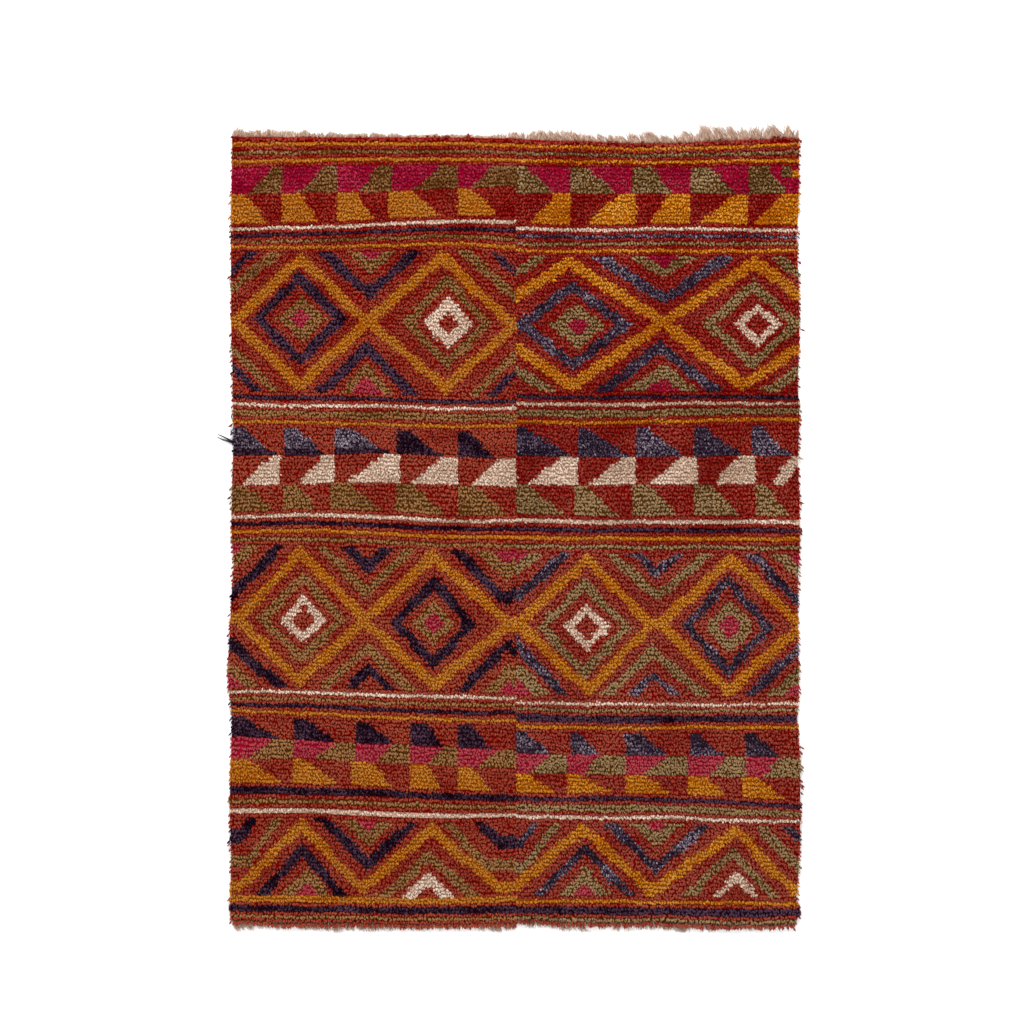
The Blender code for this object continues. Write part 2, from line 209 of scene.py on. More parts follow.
RIGHT_BANDS = (
    Band(31, 37, 49.3, 16.9, ((15, 25.9, 25.5, 0.3), (64.5, 24, 22.8, -1.7)), (
        ("dark", 49.8, 15.6, 14, 10.8, 16.9, 7.7, 6.3, 3.2),
        ("light", 49.6, 65.2, 12, 10.8, 66.5, 6.3, 6, 3.6),
    ), (
        ("green", 31, -9, 16.1, 10.9, -9, 8, 6, 6.4),
        ("dark", 31, 40.8, 17.4, 12.1, 40.6, 9.8, 6.1, 5),
        ("green", 31, 86, 13.6, 12.9, 86, 7, 7, 5.4),
        ("green", 68, -9, 18.2, 11.5, -9, 8, 6, 6.4),
        ("dark", 68, 39.5, 15.7, 12.2, 40.3, 10.7, 7.3, 5.1),
        ("green", 68, 86, 16.8, 11.1, 86, 7, 7, 5.4),
    )),
    Band(111, 39, 130.6, 18, ((19.8, 19.4, 17.6, 0.2), (58.8, 18.9, 20.2, -0.4)), (
        ("light", 131.6, 18.9, 11.7, 12, 19.6, 6.5, 6.8, 3.7),
        ("dark", 131, 58.5, 11.3, 12.4, 59.1, 6.8, 7.7, 3.1),
    ), (
        ("dark", 111, -0.3, 14.3, 12.8, -0.3, 8.1, 6.8, 3.8),
        ("green", 111, 39.3, 13.5, 12.1, 38.8, 7.8, 7.1, 4.4),
        ("dark", 111, 78.3, 13.6, 13.4, 78.3, 8.7, 7.2, 4),
        ("dark", 150, -0.3, 13.5, 14.3, -0.3, 9.6, 9.2, 5.2),
        ("green", 150, 37.9, 13.5, 12, 37.9, 7.7, 6.4, 4.9),
        ("dark", 150, 78.3, 14.2, 13.2, 78.3, 9.7, 8.3, 4.8),
    )),
    Band(186, 20, 205.5, 18.1, ((18, 20, 20.2, 0), (60.4, 23.6, 17.8, 0)), (
        ("dark", 206, 19, 12.8, 12.9, 19.1, 7.7, 7.9, 3.4),
        ("light", 206, 59.7, 12.1, 12.7, 61, 6.7, 7.6, 4),
    ), (
        ("green", 186, -0.5, 12, 12.6, -0.5, 7.2, 7.4, 4.4, 0.2),
        ("dark", 186, 38.6, 13.3, 12.3, 38.6, 7.7, 6.3, 3),
        ("green", 186, 78.7, 12.2, 12.2, 78.7, 5.9, 5.6, 3.1),
    ), 0.93),
)
print("motifs in each band:", [len(band.motifs + band.gaps) for band in LEFT_BANDS + RIGHT_BANDS])

# %% [markdown]
# ## How the rows run
# No row of a hand-knotted strip is straight: a weaver who beats one side harder packs its rows closer. These
# tables give, for the rows at which bands begin, end or bulge, how far each lies below its even place at
# five places from the strip's left side to its right side, in millimetres. The rows between two lines change
# evenly from one to the other, and a smooth curve joins the five places.

# %% Drift of the rows, in millimetres
# each line: its row, then its drift at the five places
LEFT_LINES = (
    (0, 0, 2, 2, 2, 4), (6, 12, 6, 4, 4, 6), (14, 14, 10, 8, 0, -6),
    (22, 16, 12, 4, -4, -4), (31, 4, 4, 2, -2, 6), (50, 0, 2, 2, 8, 12),
    (70, -2, 2, 2, 8, 8), (80, -6, -2, 2, 6, 6), (89, -16, -14, -18, -12, -8),
    (97, -12, -16, -18, -14, -10), (105, -10, -16, -12, -2, -2), (112, -10, -10, -4, 2, 4),
    (132, -4, -4, 0, 4, 8), (152, -8, -10, -4, 0, 6), (158, -16, -12, -4, 2, 2),
    (167, -22, -12, -4, 2, 10), (172, -12, -12, -4, 4, 10), (182, -16, -14, -10, -2, 2),
    (187, 0, -2, 6, 10, 4), (208, 0, 0, 4, 6, 0), (217, -10, -4, -4, -2, -4),
)
RIGHT_LINES = (
    (0, 6, 12, 16, 10, 4), (6, 8, 8, 10, 8, 6), (14, 12, 12, 12, 12, 12),
    (22, 12, 16, 14, 14, 16), (31, 12, 14, 12, 14, 14), (50, 12, 16, 12, 14, 14),
    (70, 12, 16, 14, 14, 16), (76, 12, 14, 12, 8, 6), (80, 14, 16, 16, 12, 12),
    (94, 8, 12, 10, 10, 12), (103, 12, 16, 16, 16, 16), (111, 24, 26, 26, 26, 28),
    (131, 22, 24, 24, 26, 30), (151, 24, 26, 26, 28, 26), (158, 16, 22, 22, 20, 18),
    (167, 16, 20, 22, 24, 28), (173, 12, 14, 18, 20, 24), (179, 16, 18, 18, 26, 34),
    (186, 16, 18, 18, 24, 26), (206, 18, 18, 20, 22, 22), (214, 14, 18, 20, 26, 26),
)
print("lines:", len(LEFT_LINES), "and", len(RIGHT_LINES))

# %% [markdown]
# ## How the sides run
# The outer sides wander by a few millimetres as well. Each table gives how far the pile reaches out past the
# strip's even width, at a distance down from the top line, in millimetres.

# %% The two strips
# each mark: how far down, and how far out
LEFT_SIDE = (
    (35, 4), (215, 7), (430, 6), (528, 3), (690, 1), (750, 3), (880, 6), (960, 0),
    (1030, 5), (1150, 11), (1205, 15), (1310, 4), (1385, 6), (1510, 10), (1620, 6), (1745, 9),
    (1781, 4),
)
RIGHT_SIDE = (
    (35, 2), (160, 1), (230, -4), (320, 1), (450, 3), (550, -1), (630, 3), (735, -1),
    (810, 3), (920, 4), (1000, -1), (1170, 0), (1259, 2), (1300, -3), (1380, 3), (1475, 5),
    (1590, 4), (1690, -3), (1722, -4), (1732, 4), (1752, 4), (1768, -4), (1784, -12),
)
Strip = namedtuple("Strip", "name side rows stripes tiers bands rings lines outer")
LEFT_RINGS, RIGHT_RINGS = rings_in(INDIGO), rings_in(SLATE)
LEFT = Strip("left", -1, 217, LEFT_STRIPES, LEFT_TIERS, LEFT_BANDS, LEFT_RINGS, LEFT_LINES, LEFT_SIDE)
RIGHT = Strip("right", 1, 214, RIGHT_STRIPES, RIGHT_TIERS, RIGHT_BANDS, RIGHT_RINGS, RIGHT_LINES, RIGHT_SIDE)


# %% Where a knot lies
def place_of(strip, row, share):
    """x and y of points at these rows from the top and these shares of the width from the left side."""
    table = np.array(strip.lines)
    drifts = np.stack([np.interp(row, table[:, 0], place) for place in table[:, 1:].T], -1)
    spans = drifts.shape[1] - 1
    step = np.clip(share, 0, 1) * spans
    span = np.minimum(step.astype(int), spans - 1)
    part = step - span
    ahead_of_first = 2 * drifts[:, :1] - drifts[:, 1:2]
    past_last = 2 * drifts[:, -1:] - drifts[:, -2:-1]
    padded = np.concatenate([ahead_of_first, drifts, past_last], 1)
    near = [np.take_along_axis(padded, (span + k)[:, None], 1)[:, 0] for k in range(4)]
    before, here, after, beyond = near
    slope_here, slope_after = (after - before) / 2, (beyond - here) / 2
    drift = (
        here * (2 * part**3 - 3 * part**2 + 1)
        + slope_here * (part**3 - 2 * part**2 + part)
        + after * (3 * part**2 - 2 * part**3)
        + slope_after * (part**3 - part**2)
    )
    down = row * ROW_PITCH + drift * MM
    marks = np.array(strip.outer) * MM
    width = STRIP_WIDTH + np.interp(down, marks[:, 0], marks[:, 1])
    from_seam = share if strip.side > 0 else share - 1
    return SEAM_X + from_seam * width, TOP_Y - down


for strip in (LEFT, RIGHT):
    corner_x, corner_y = place_of(strip, np.array([0.0, strip.rows]), np.array([0.0, 1.0]))
    print(strip.name, "strip, in mm:", np.round(1000 * corner_x), np.round(1000 * corner_y))

# %% [markdown]
# ## Reading the chart
# The chart is worked out for the whole strip at once, as an array of rows by knots. Stripes and tiers are
# masks on that array, and a lozenge is every knot whose steps across and down from its middle add up to less
# than its reach. A slow, seeded ripple moves the lozenges' lines by part of a row, because a weaver counts
# from the last row and now and then drifts.

# %% The chart of one strip
LATTICE_ROWS = 1.85  # half the thickness of the saffron lattice, in rows
RING_ROWS = {OLIVE: 1.65, SLATE: 1.75, INDIGO: 1.9}  # half the thickness of a ring of each yarn, in rows
RIPPLE = 0.5  # how far the lines wander, in rows
RIPPLE_WAVES = 8
RIPPLE_TURN = 0.9  # the fastest turn of a wave, in radians a row or knot


def share_of(row, knot, at_row, at_knot, reach, height, level):
    """0 at a lozenge's middle and 1 on its outline, which is flat over the level share of its reach."""
    across = np.maximum(np.abs(knot - at_knot) / reach - level, 0) / (1 - level)
    return across + np.abs(row - at_row) / height


def lattice_of(band, row, knot):
    """Rows from each knot to a band's lattice: below 0 within a lozenge, and level towards the sides."""
    outlines = []
    for lozenge in starmap(Lozenge, band.lozenges):
        middle = lozenge.knot + lozenge.lean * (row - band.middle) / band.height
        reach = np.where(knot < middle, lozenge.left, lozenge.right)
        across = np.minimum(np.abs(knot - middle) / reach, band.level)
        outlines.append(across + np.abs(row - band.middle) / band.height)
    return (np.min(outlines, 0) - 1) * band.height


def draw_band(chart, band, rings, row, knot, ripple):
    """Paints one band: the motifs in its lozenges and its gaps, then the lattice over them."""
    inside = (row >= band.row) & (row < band.row + band.rows)
    lattice = lattice_of(band, row, knot) + ripple
    parts = ((band.motifs, inside & (lattice < 0)), (band.gaps, inside & (lattice >= 0)))
    for motifs, part in parts:
        for motif in starmap(Motif, motifs):
            yarns = rings[motif.kind]
            share = share_of(row, knot, motif.row, motif.knot, motif.reach, motif.height, motif.level)
            ring = np.abs((share - 1) * motif.height + ripple) < RING_ROWS[yarns.outer]
            chart[part & ring] = yarns.outer
            inner = motif.inner_knot, motif.inner_reach, motif.inner_height
            share = share_of(row, knot, motif.row, *inner, motif.level)
            chart[part & ((share - 1) * motif.inner_height + ripple < 0)] = yarns.inner
            chart[part & (share * motif.inner_reach < motif.core)] = yarns.core
    chart[inside & (np.abs(lattice) < LATTICE_ROWS)] = SAFFRON


def ripple_of(row, knot, seed):
    """A slow wander made of a few sine waves, in rows."""
    chance = np.random.default_rng(seed)
    total = np.zeros(row.shape)
    for _ in range(RIPPLE_WAVES):
        turn_row, turn_knot, start = chance.uniform(-RIPPLE_TURN, RIPPLE_TURN, 3) * (1, 1, np.pi)
        total += np.sin(row * turn_row + knot * turn_knot + start)
    return total / RIPPLE_WAVES * RIPPLE


def chart_of(strip, seed):
    """The yarn of every knot of a strip, as an array of rows by knots."""
    row, knot = np.mgrid[0 : strip.rows, 0:KNOTS] + 0.5
    chart = np.full(row.shape, RED)
    for stripe in starmap(Stripe, strip.stripes):
        chart[stripe.row : stripe.row + stripe.rows] = stripe.yarn
    for tier in starmap(Tier, strip.tiers):
        inside = (row > tier.row) & (row < tier.row + tier.rows)
        down = (row - tier.row - 0.5) / max(tier.rows - 1, 1)
        for start, end, slant in zip(tier.edges, tier.edges[1:], tier.slants):
            first, last = slant[0] / 100, slant[1] / 100
            edge = start + (end - start) * (first + (last - first) * down)
            cell = inside & (knot >= start) & (knot < end)
            chart[cell & (knot < edge)] = tier.left
            chart[cell & (knot >= edge)] = tier.right
    ripple = ripple_of(row, knot, seed)
    for band in strip.bands:
        draw_band(chart, band, strip.rings, row, knot, ripple)
    return chart


charts = {strip.name: chart_of(strip, seed) for strip, seed in ((LEFT, 3), (RIGHT, 4))}
for name, chart in charts.items():
    counts = np.bincount(chart.ravel(), minlength=len(YARNS))
    print(name, "knots by yarn:", dict(zip(YARNS, counts.tolist())))

# %% [markdown]
# ## Colour helpers
# Dyers' colours are written down as they look, in sRGB hex, and Blender's shaders want linear light, so one
# function turns the one into the other. Another adds a shader node with its settings and links, and a third
# fills in inputs, of new nodes and of those that Blender makes itself.


# %% Colour and node helpers
def linear(hex_colour):
    """An sRGB hex colour as linear RGBA."""
    values = [int(hex_colour[k : k + 2], 16) / 255 for k in (1, 3, 5)]
    return (*(v / 12.92 if v <= 0.04045 else ((v + 0.055) / 1.055) ** 2.4 for v in values), 1.0)


def fill(tree, node, inputs):
    """Links or sets some inputs of a node."""
    for socket, value in inputs.items():
        if isinstance(value, bpy.types.NodeSocket):
            tree.links.new(value, node.inputs[socket])
        else:
            node.inputs[socket].default_value = value


def add_node(tree, kind, inputs, **settings):
    """Adds a node, sets its properties, and fills its inputs."""
    made = tree.nodes.new(kind)
    for name, value in settings.items():
        setattr(made, name, value)
    fill(tree, made, inputs)
    return made


MIX_FACTOR, MIX_A, MIX_B, MIX_RESULT = 0, 6, 7, 2  # a Mix node's colour sockets, which share their names
print("madder red in linear light:", [round(value, 3) for value in linear("#801112")])

# %% [markdown]
# ## Dye lots
# Wool for one rug is dyed in many small pots over months, so a colour shifts up and down the rug. These
# tables give, at some rows, how far each yarn then in use leans from its first lot, at 0, to its other one,
# at 100. Below 0, even a patch of it hardly reaches the other lot. The last column is how much deeper all of
# them were dyed. Single locks and patches lean by their own amounts as well, most of all in the two dark
# yarns, because the fleece took the indigo unevenly.

# %% Dye lots by row
# each lot: its row, then red, saffron, olive, indigo, slate and raspberry, and the depth of shade
LEFT_LOTS = (
    (0, 22, 65, 0, 30, 70, -30, 0),
    (22, 14, 70, 10, 35, 70, -20, 0),
    (31, 48, 65, 60, 60, 70, 30, 0),
    (70, 55, 70, 65, 80, 10, 50, 0),
    (77, 55, 70, 65, 20, 10, 50, 0),
    (81, 70, 65, 65, 15, 10, 50, 0),
    (105, 70, 60, 80, 15, 10, 50, 0),
    (113, 80, 60, 95, 20, 70, 60, -6),
    (151, 75, 60, 100, 20, 70, 80, -4),
    (166, 60, 60, 90, 20, 70, 90, 0),
    (217, 65, 60, 90, 20, 70, 90, -6),
)
RIGHT_LOTS = (
    (0, 45, 20, 10, 50, 30, 5, 5),
    (7, 12, 0, 10, 50, 30, 8, 8),
    (31, 22, 25, 50, 60, 30, 20, 4),
    (60, 32, 35, 80, 90, 30, 40, 7),
    (72, 35, 35, 90, 90, 0, 40, 42),
    (82, 40, 40, 90, 90, -35, 50, 16),
    (104, 45, 50, 100, 90, -10, 50, 12),
    (114, 75, 50, 90, 70, 35, 60, 0),
    (150, 75, 50, 80, 70, 35, 80, 0),
    (165, 60, 25, 75, 80, 65, 85, 4),
    (190, 70, 40, 75, 80, 30, 85, 0),
    (214, 70, 40, 75, 100, 30, 85, 0),
)
LOTS = {"left": LEFT_LOTS, "right": RIGHT_LOTS}
DARK_YARNS = (INDIGO, SLATE)
Unevenness = namedtuple("Unevenness", "patch lock")  # how far patches and single locks lean
DARK_DYE = Unevenness(1.1, 0.30)
EVEN_DYE = Unevenness(0.3, 0.12)


def lean_of(strip, row, knot, yarn, seed):
    """How far each lock's yarn leans to its other lot."""
    chance = np.random.default_rng(seed)
    rows, *leans, _ = np.array(LOTS[strip.name]).T
    lean = np.zeros(len(row))
    for kind, lots in enumerate(leans):
        lean = np.where(yarn == kind, np.interp(row, rows, lots / 100), lean)
    patch = ripple_of(row * 0.8, knot * 1.1, seed) / RIPPLE
    flecks = chance.normal(0, 1, len(row))
    dark, even = (patch * dye.patch + flecks * dye.lock for dye in (DARK_DYE, EVEN_DYE))
    return np.clip(lean + np.where(np.isin(yarn, DARK_YARNS), dark, even), 0, 1)


# %% [markdown]
# ## Hand-dyed wool
# The pile is hand-spun wool, dyed and cut. Wool's IOR is about 1.55, but light that enters a lock of cut
# fibres is scattered so many times that no gloss is left, so its surface reflection is off. Each lock takes
# its own place between a dark and a light tone, and a fine noise stands for its fibres, some of which took
# more dye than others. A lock also leans towards the other dye lot, its light fibres most.


# %% Dyed wool material
# A fibre is about 0.03 mm thick, too fine to show, so the noise is drawn as coarse as a bundle of fibres.
FIBRE_PITCH = (0.0022, 0.0042, 0.0030)  # across, along and up, in metres


def fibre_tone(tree, flecks):
    """A lock's tone, moved up and down by the fibre noise."""
    tone = add_node(tree, "ShaderNodeAttribute", {}, attribute_name="tone")
    place = add_node(tree, "ShaderNodeTexCoord", {})
    scale = [1 / pitch for pitch in FIBRE_PITCH]
    scaled = add_node(tree, "ShaderNodeMapping", {"Vector": place.outputs["Object"], "Scale": scale})
    inputs = {"Vector": scaled.outputs["Vector"], "Scale": 1.0, "Detail": 2.0}
    noise = add_node(tree, "ShaderNodeTexNoise", inputs)
    centred = add_node(tree, "ShaderNodeMath", {0: noise.outputs["Fac"], 1: 0.5}, operation="SUBTRACT")
    inputs = {0: centred.outputs["Value"], 1: flecks, 2: tone.outputs["Fac"]}
    moved = add_node(tree, "ShaderNodeMath", inputs, operation="MULTIPLY_ADD", use_clamp=True)
    return moved.outputs["Value"]


def wool_colour(tree, tone, dark, body, light):
    """The colour of a tone, from dark at 0 through the body colour to light at 1."""
    ramp = add_node(tree, "ShaderNodeValToRGB", {"Fac": tone})
    ramp.color_ramp.elements[0].color = linear(dark)
    ramp.color_ramp.elements[1].color = linear(light)
    ramp.color_ramp.elements.new(0.5).color = linear(body)
    return ramp.outputs["Color"]


def shaded_material(name, inputs):
    """A material with these shader inputs, with its tree and its colour socket."""
    material = bpy.data.materials.new(name)
    material.use_nodes = True
    shader = material.node_tree.nodes["Principled BSDF"]
    fill(material.node_tree, shader, inputs)
    return material, material.node_tree, shader.inputs["Base Color"]


def matte_wool(name):
    """Wool without gloss, with its tree and its colour socket."""
    return shaded_material(name, {"Roughness": 0.95, "IOR": 1.55, "Specular IOR Level": 0.0})


def dyed_wool(name, dark, body, light, other, flecks=1.7):
    """Wool whose colour runs from dark to light by its tone, and turns to another lot's by its lean."""
    material, tree, base_colour = matte_wool(name)
    tone = fibre_tone(tree, flecks)
    lean = add_node(tree, "ShaderNodeAttribute", {}, attribute_name="lean")
    most_in_light = add_node(tree, "ShaderNodeMapRange", {"Value": tone, "To Min": 0.4, "To Max": 1.6})
    inputs = {0: lean.outputs["Fac"], 1: most_in_light.outputs["Result"]}
    share = add_node(tree, "ShaderNodeMath", inputs, operation="MULTIPLY", use_clamp=True)
    own_lot = wool_colour(tree, tone, dark, body, light)
    inputs = {MIX_FACTOR: share.outputs["Value"], MIX_A: own_lot, MIX_B: linear(other)}
    turned = add_node(tree, "ShaderNodeMix", inputs, data_type="RGBA")
    tree.links.new(turned.outputs[MIX_RESULT], base_colour)
    return material


# %% The wools: dark, body and light tones, then the other lot's colour
WOOLS = {
    ("left", RED): dyed_wool("rusty madder wool", "#6C0404", "#831412", "#A03C2E", "#944330"),
    ("right", RED): dyed_wool("madder wool", "#680303", "#801112", "#A03C32", "#944434"),
    SAFFRON: dyed_wool("weld and madder wool", "#964302", "#C07A18", "#D49A42", "#A4662A"),
    ("left", OLIVE): dyed_wool("overdyed olive wool", "#482204", "#744A27", "#9C7654", "#946840"),
    ("right", OLIVE): dyed_wool("greener olive wool", "#42280A", "#785A38", "#A68C6A", "#947652"),
    INDIGO: dyed_wool("deep indigo wool", "#10030F", "#1A0816", "#46303E", "#4E3648", 2.2),
    SLATE: dyed_wool("heathered indigo wool", "#160A1A", "#5A4A5A", "#A296A0", "#24141F", 2.1),
    RASPBERRY: dyed_wool("cochineal wool", "#72021C", "#8E102E", "#A6364C", "#A43E46"),
    IVORY: dyed_wool("undyed ivory wool", "#A2846C", "#C9AD99", "#E2CEBD", "#C8A490"),
}


def wool_of(strip, yarn):
    """A strip's own lot of a yarn where it has one, else the lot that both share."""
    return WOOLS.get((strip.name, yarn), WOOLS.get(yarn))


print("wools:", len(WOOLS))

# %% [markdown]
# ## Locks of fibre
# Tufts and warp ends are the same kind of thing: a short lock that follows a path. Three sides are enough
# for a lock that is thinner than a pencil. All locks of one piece are built at once, as arrays, and each
# gets its own square of the bake map.

# %% Rings around a lock's path
SIDES = 3


def rings_along(path, radius, roll):
    """Rings of three points around each point of each path: (locks, path points, 3, xyz)."""
    ahead = np.gradient(path, axis=1)
    ahead /= np.linalg.norm(ahead, axis=2, keepdims=True)
    side = np.cross(ahead, (0.0, 0.0, 1.0))
    side /= np.maximum(np.linalg.norm(side, axis=2, keepdims=True), 1e-6)
    up = np.cross(side, ahead)
    angle = roll[:, None, None] + np.arange(SIDES) * 2 * np.pi / SIDES
    swing = side[:, :, None] * np.cos(angle)[..., None] + up[:, :, None] * np.sin(angle)[..., None]
    return path[:, :, None] + swing * radius[:, :, None, None]


# %% Faces of a lock
UV_FIRST, UV_RINGS, UV_LAST = 0.15, 0.7, 0.85  # up a lock's square: first ring, all rings, last ring
UV_LONE_RING = 0.8  # where a lock has one ring
UV_CAP = 0.12  # height of a cut end's triangle


def lock_faces(rings, pointed_root, pointed_tip):
    """Faces of a lock, with where their corners lie on its square of the bake map."""
    root_top = UV_FIRST if rings > 1 else UV_LONE_RING
    first = 1 if pointed_root else 0
    last = first + (rings - 1) * SIDES
    faces, places = [], []
    for side in range(SIDES):
        after = (side + 1) % SIDES
        left, right = side / SIDES, (side + 1) / SIDES
        if pointed_root:
            faces.append((0, first + after, first + side))
            places += [((left + right) / 2, 0.0), (right, root_top), (left, root_top)]
        for ring in range(rings - 1):
            low, high = first + ring * SIDES, first + (ring + 1) * SIDES
            below, above = (UV_FIRST + UV_RINGS * (ring + k) / max(rings - 1, 1) for k in (0, 1))
            faces.append((low + side, low + after, high + after, high + side))
            places += [(left, below), (right, below), (right, above), (left, above)]
        if pointed_tip:
            faces.append((last + side, last + after, last + SIDES))
            places += [(left, UV_LAST), (right, UV_LAST), ((left + right) / 2, 1.0)]
    if not pointed_tip:
        faces.append((last, last + 1, last + 2))
        places += [(0.0, 1 - UV_CAP), (1.0, 1 - UV_CAP), (0.5, 1.0)]
    if not pointed_root:
        faces.append((2, 1, 0))
        places += [(0.5, 0.0), (1.0, UV_CAP), (0.0, UV_CAP)]
    return faces, np.array(places)


# %% Many locks as one mesh
UV_MARGIN = 0.08  # of a lock's square on the bake map


def add_object(name, data):
    """Puts a mesh, lamp or camera in the scene."""
    made = bpy.data.objects.new(name, data)
    bpy.context.scene.collection.objects.link(made)
    return made


def mesh_locks(name, points, faces, places, looks, material):
    """One mesh of equal locks, given as (locks, points, xyz), with looks as point attributes."""
    count, each = points.shape[:2]
    corners = np.concatenate(faces)
    sizes = np.array([len(face) for face in faces])
    mesh = bpy.data.meshes.new(name)
    mesh.vertices.add(count * each)
    mesh.vertices.foreach_set("co", points.astype(np.float32).ravel())
    mesh.loops.add(count * len(corners))
    spread = corners[None] + each * np.arange(count)[:, None]
    mesh.loops.foreach_set("vertex_index", spread.astype(np.int32).ravel())
    mesh.polygons.add(count * len(faces))
    every_size = np.tile(sizes, count)
    mesh.polygons.foreach_set("loop_start", (np.cumsum(every_size) - every_size).astype(np.int32))
    mesh.polygons.foreach_set("use_smooth", np.ones(count * len(faces), bool))
    for label, values in looks.items():
        attribute = mesh.attributes.new(label, "FLOAT", "POINT")
        spread = np.broadcast_to(values, (count, each))
        attribute.data.foreach_set("value", np.ascontiguousarray(spread, np.float32).ravel())
    across = math.ceil(math.sqrt(count))
    square = np.stack([np.arange(count) % across, np.arange(count) // across], 1)
    inner = places * (1 - 2 * UV_MARGIN) + UV_MARGIN
    spots = (square[:, None] + inner[None]) / across
    layer = mesh.uv_layers.new(name="OFBake", do_init=False)
    layer.uv.foreach_set("vector", spots.astype(np.float32).ravel())
    mesh.update(calc_edges=True)
    mesh.materials.append(material)
    return add_object(name, mesh)


# %% [markdown]
# ## The tufts
# A symmetrical knot wraps two warps and lets its two cut ends out between them. They open into about three
# locks, which rise from the ground, bend over the row below and end blunt, and no two curl the same way.
# Real locks hold hundreds of fibres. Here each has a point at its root, one ring where it is thickest, near
# its end, and a short point for a tip, so that 100,000 of them stay within a scene's budget. The bed they
# stand in is thin at the free edges and full from a few knots in.

# %% Tuft sizes, in metres
LOCKS_PER_KNOT = 3
TUFT_RISE = 0.0058  # above the bed
TUFT_FORWARD = 0.0100  # how far a tip lies down the rug from its root
TUFT_PAST = 0.0060  # how far a tip lies past the middle of its row
TUFT_RADIUS = 0.0031
THICKEST = 0.62  # share of a lock's length from its root
THICKEST_RISE = 0.72  # share of a lock's rise that it has there
ROOT_ROWS = 0.79  # how far a root lies above the middle of its row, in rows
BED_KNOTS = 2.5  # from a free edge to the full bed
Wander = namedtuple("Wander", "row_step knot_step seed reach")  # how groups of tips wander, in metres
WANDERS = (Wander(1.3, 0.6, 1, 0.004), Wander(2.9, 1.8, 8, 0.003))
SPILL_FROM, SPILL_OVER = 0.965, 0.035  # shares of the width: tufts past the first spill out to the side
RAGGED = {"left": 0.003, "right": 0.0015}  # how far whole rows spill past the outer side
Shag = namedtuple("Shag", "share width reach")  # where the top row's tufts lie over the warp ends, in mm
SHAGS = {
    "left": (Shag(0.835, 0.010, 18), Shag(0.10, 0.012, 7), Shag(0.94, 0.030, 5)),
    "right": (Shag(0.73, 0.035, 9), Shag(0.93, 0.030, 11), Shag(0.04, 0.030, 5)),
}
print("locks:", (LEFT.rows + RIGHT.rows) * KNOTS * LOCKS_PER_KNOT)


# %% The bed under the tufts
def bed_height(strip, row, share):
    """Height of the bed that the tufts stand in."""
    side_knots = (share if strip.side < 0 else 1 - share) * KNOTS
    inwards = np.clip(np.minimum(side_knots, np.minimum(row, strip.rows - row)) / BED_KNOTS, 0, 1)
    return CLOTH_HEIGHT + (BED_HEIGHT - CLOTH_HEIGHT) * inwards * (2 - inwards)


# %% The tufts of a strip
def tufts_of(strip, seed):
    """Paths and looks of all locks of one strip, as arrays."""
    chance = np.random.default_rng(seed)
    row, place = np.mgrid[0 : strip.rows, 0 : KNOTS * LOCKS_PER_KNOT]
    row, place = row.ravel(), place.ravel()
    knot = place // LOCKS_PER_KNOT
    count = len(row)
    share = (place + 0.5 + chance.uniform(-0.45, 0.45, count)) / (KNOTS * LOCKS_PER_KNOT)
    x, y = place_of(strip, row + 0.5 + chance.uniform(-0.22, 0.22, count), share)
    wander = sum(
        ripple_of(row * each.row_step, knot * each.knot_step, seed + each.seed) / RIPPLE * each.reach
        for each in WANDERS
    )
    past = TUFT_PAST + chance.normal(0, 0.0012, count) + wander
    forward = TUFT_FORWARD * chance.uniform(0.8, 1.1, count)
    sway = chance.normal(0.001, 0.0036, count)
    rise = TUFT_RISE * chance.uniform(0.72, 1.1, count)
    thick = THICKEST + chance.uniform(-0.1, 0.1, count)
    root = np.stack([x, y - past + forward, bed_height(strip, row, share) - 0.001], 1)
    tip = np.stack([x + sway, y - past, BED_HEIGHT + rise], 1)
    middle_y = y - past + forward * (1 - thick)
    middle = np.stack([x + sway * 0.5, middle_y, BED_HEIGHT + rise * THICKEST_RISE], 1)
    outer_share = share if strip.side > 0 else 1 - share
    ragged = RAGGED[strip.name] * chance.uniform(0, 1, strip.rows) ** 2
    spill = chance.uniform(-0.001, 0.004, count) + ragged[row]
    spill *= np.clip((outer_share - SPILL_FROM) / SPILL_OVER, 0, 1)
    tip[:, 0] += strip.side * spill
    tip[:, 2] -= np.maximum(spill, 0) * 0.9
    middle[:, 0] += strip.side * spill * 0.5
    shags = SHAGS[strip.name]
    shaggy = sum(shag.reach * MM * (np.abs(share - shag.share) < shag.width) for shag in shags)
    upwards = chance.uniform(-0.003, 0.009, count) + shaggy * chance.uniform(0.4, 1, count)
    stray = np.where(row == 0, upwards, 0)
    stray -= np.where(row == strip.rows - 1, chance.uniform(-0.001, 0.007, count), 0)
    tip[:, 1] += stray
    tip[:, 2] -= np.clip((np.abs(stray) - 0.003) * 1.2, 0, 0.007)
    middle[:, 1] += stray * 0.6
    yarn = charts[strip.name][row, knot]
    rows, *_, shade = np.array(LOTS[strip.name]).T
    patch = ripple_of(row * 0.7, knot * 0.4, seed + 2) / RIPPLE * 0.5
    patch -= np.interp(row, rows, shade / 100)
    top_row = np.where(row == 0, 1.4, 1)[:, None]
    return dict(
        yarn=yarn,
        path=np.stack([root, middle, tip], 1),
        radius=TUFT_RADIUS * top_row * chance.uniform(0.72, 1.2, (count, 1)),
        roll=chance.uniform(0, 2 * np.pi, count),
        tone=np.clip(chance.normal(0.5, 0.15, count) + patch, 0, 1),
        lean=lean_of(strip, row, knot, yarn, seed + 5),
    )


